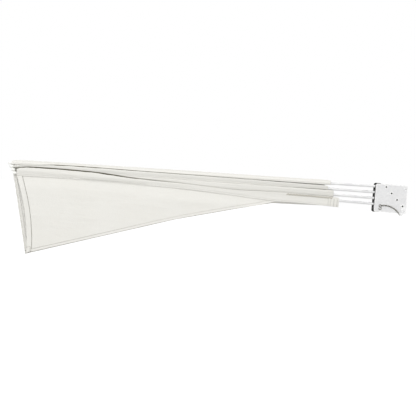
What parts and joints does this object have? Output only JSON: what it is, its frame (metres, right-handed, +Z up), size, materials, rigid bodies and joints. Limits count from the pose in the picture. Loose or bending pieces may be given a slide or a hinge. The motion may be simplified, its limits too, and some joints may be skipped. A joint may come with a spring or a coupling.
{
  "type": "folding fan screen",
  "caption": "Folding fan screen, closed: round arms turn on rivets in a wall bracket, and a cream cloth with a sleeve on each arm hangs folded below them.",
  "frame": {"origin": "midway between the centres of the two wall bolt holes, in the middle of the gap between the plates", "axes": "+X from the arms' free ends to the wall, +Y from the front plate to the back plate along the bolts, +Z up"},
  "size_m": [1.4837, 0.0297, 0.3776],
  "materials": {
    "zinc_plate": "zinc-plated sheet steel, satin",
    "bright_steel": "bright plated steel",
    "chain_steel": "dark oiled steel wire",
    "black_trim": "matt black edge trim",
    "white_nylon": "natural white nylon",
    "tube_metal": "bright drawn aluminium tube",
    "cream_cloth": "plain woven off-white polyester"
  },
  "bodies": {
    "bracket": {"front_plate": "zinc_plate", "back_plate": "zinc_plate", "edge_guard": "black_trim", "wall_sleeves": "bright_steel", "pivot_rivets": "bright_steel", "pivot_washers": "white_nylon", "corner_strap": "bright_steel", "strap_ring": "bright_steel", "keeper_chain": "chain_steel", "chain_hook": "chain_steel", "tube_1": "tube_metal", "hinge_eye_1": "white_nylon", "end_cap_1": "white_nylon", "sleeve_1": "cream_cloth", "cloth_under_1": "cream_cloth"},
    "arm_2": {"tube_2": "tube_metal", "hinge_eye_2": "white_nylon", "end_cap_2": "white_nylon", "sleeve_2": "cream_cloth", "cloth_under_2": "cream_cloth"},
    "arm_3": {"tube_3": "tube_metal", "hinge_eye_3": "white_nylon", "end_cap_3": "white_nylon", "sleeve_3": "cream_cloth", "cloth_under_3": "cream_cloth"},
    "arm_4": {"tube_4": "tube_metal", "hinge_eye_4": "white_nylon", "end_cap_4": "white_nylon", "sleeve_4": "cream_cloth", "cloth_gusset": "cream_cloth", "front_flap": "cream_cloth"},
    "cloth_2": {"cloth_over_2": "cream_cloth"},
    "cloth_3": {"cloth_over_3": "cream_cloth"},
    "cloth_4": {"cloth_over_4": "cream_cloth"}
  },
  "joints": [
    {"name": "fan_open", "type": "hinge", "parent": "bracket", "child": "arm_4", "pos_m": [-0.005, 0, -0.02225], "axis": [0, -1, 0], "range_deg": [0, 72]},
    {"name": "arm_3_turn", "type": "hinge", "parent": "bracket", "child": "arm_3", "pos_m": [-0.027, 0, -0.00025], "axis": [0, -1, 0], "range_deg": [0, 48]},
    {"name": "arm_2_turn", "type": "hinge", "parent": "bracket", "child": "arm_2", "pos_m": [-0.049, 0, 0.02175], "axis": [0, -1, 0], "range_deg": [0, 24]},
    {"name": "cloth_4_turn", "type": "hinge", "parent": "bracket", "child": "cloth_4", "pos_m": [-0.005, 0, -0.02225], "axis": [0, -1, 0], "range_deg": [0, 60]},
    {"name": "cloth_3_turn", "type": "hinge", "parent": "bracket", "child": "cloth_3", "pos_m": [-0.027, 0, -0.00025], "axis": [0, -1, 0], "range_deg": [0, 36]},
    {"name": "cloth_2_turn", "type": "hinge", "parent": "bracket", "child": "cloth_2", "pos_m": [-0.049, 0, 0.02175], "axis": [0, -1, 0], "range_deg": [0, 12]}
  ],
  "couplings": [
    {"joint": "arm_3_turn", "follows": "fan_open", "ratio": 0.66667},
    {"joint": "arm_2_turn", "follows": "fan_open", "ratio": 0.33333},
    {"joint": "cloth_4_turn", "follows": "fan_open", "ratio": 0.83333},
    {"joint": "cloth_3_turn", "follows": "fan_open", "ratio": 0.5},
    {"joint": "cloth_2_turn", "follows": "fan_open", "ratio": 0.16667}
  ]
}
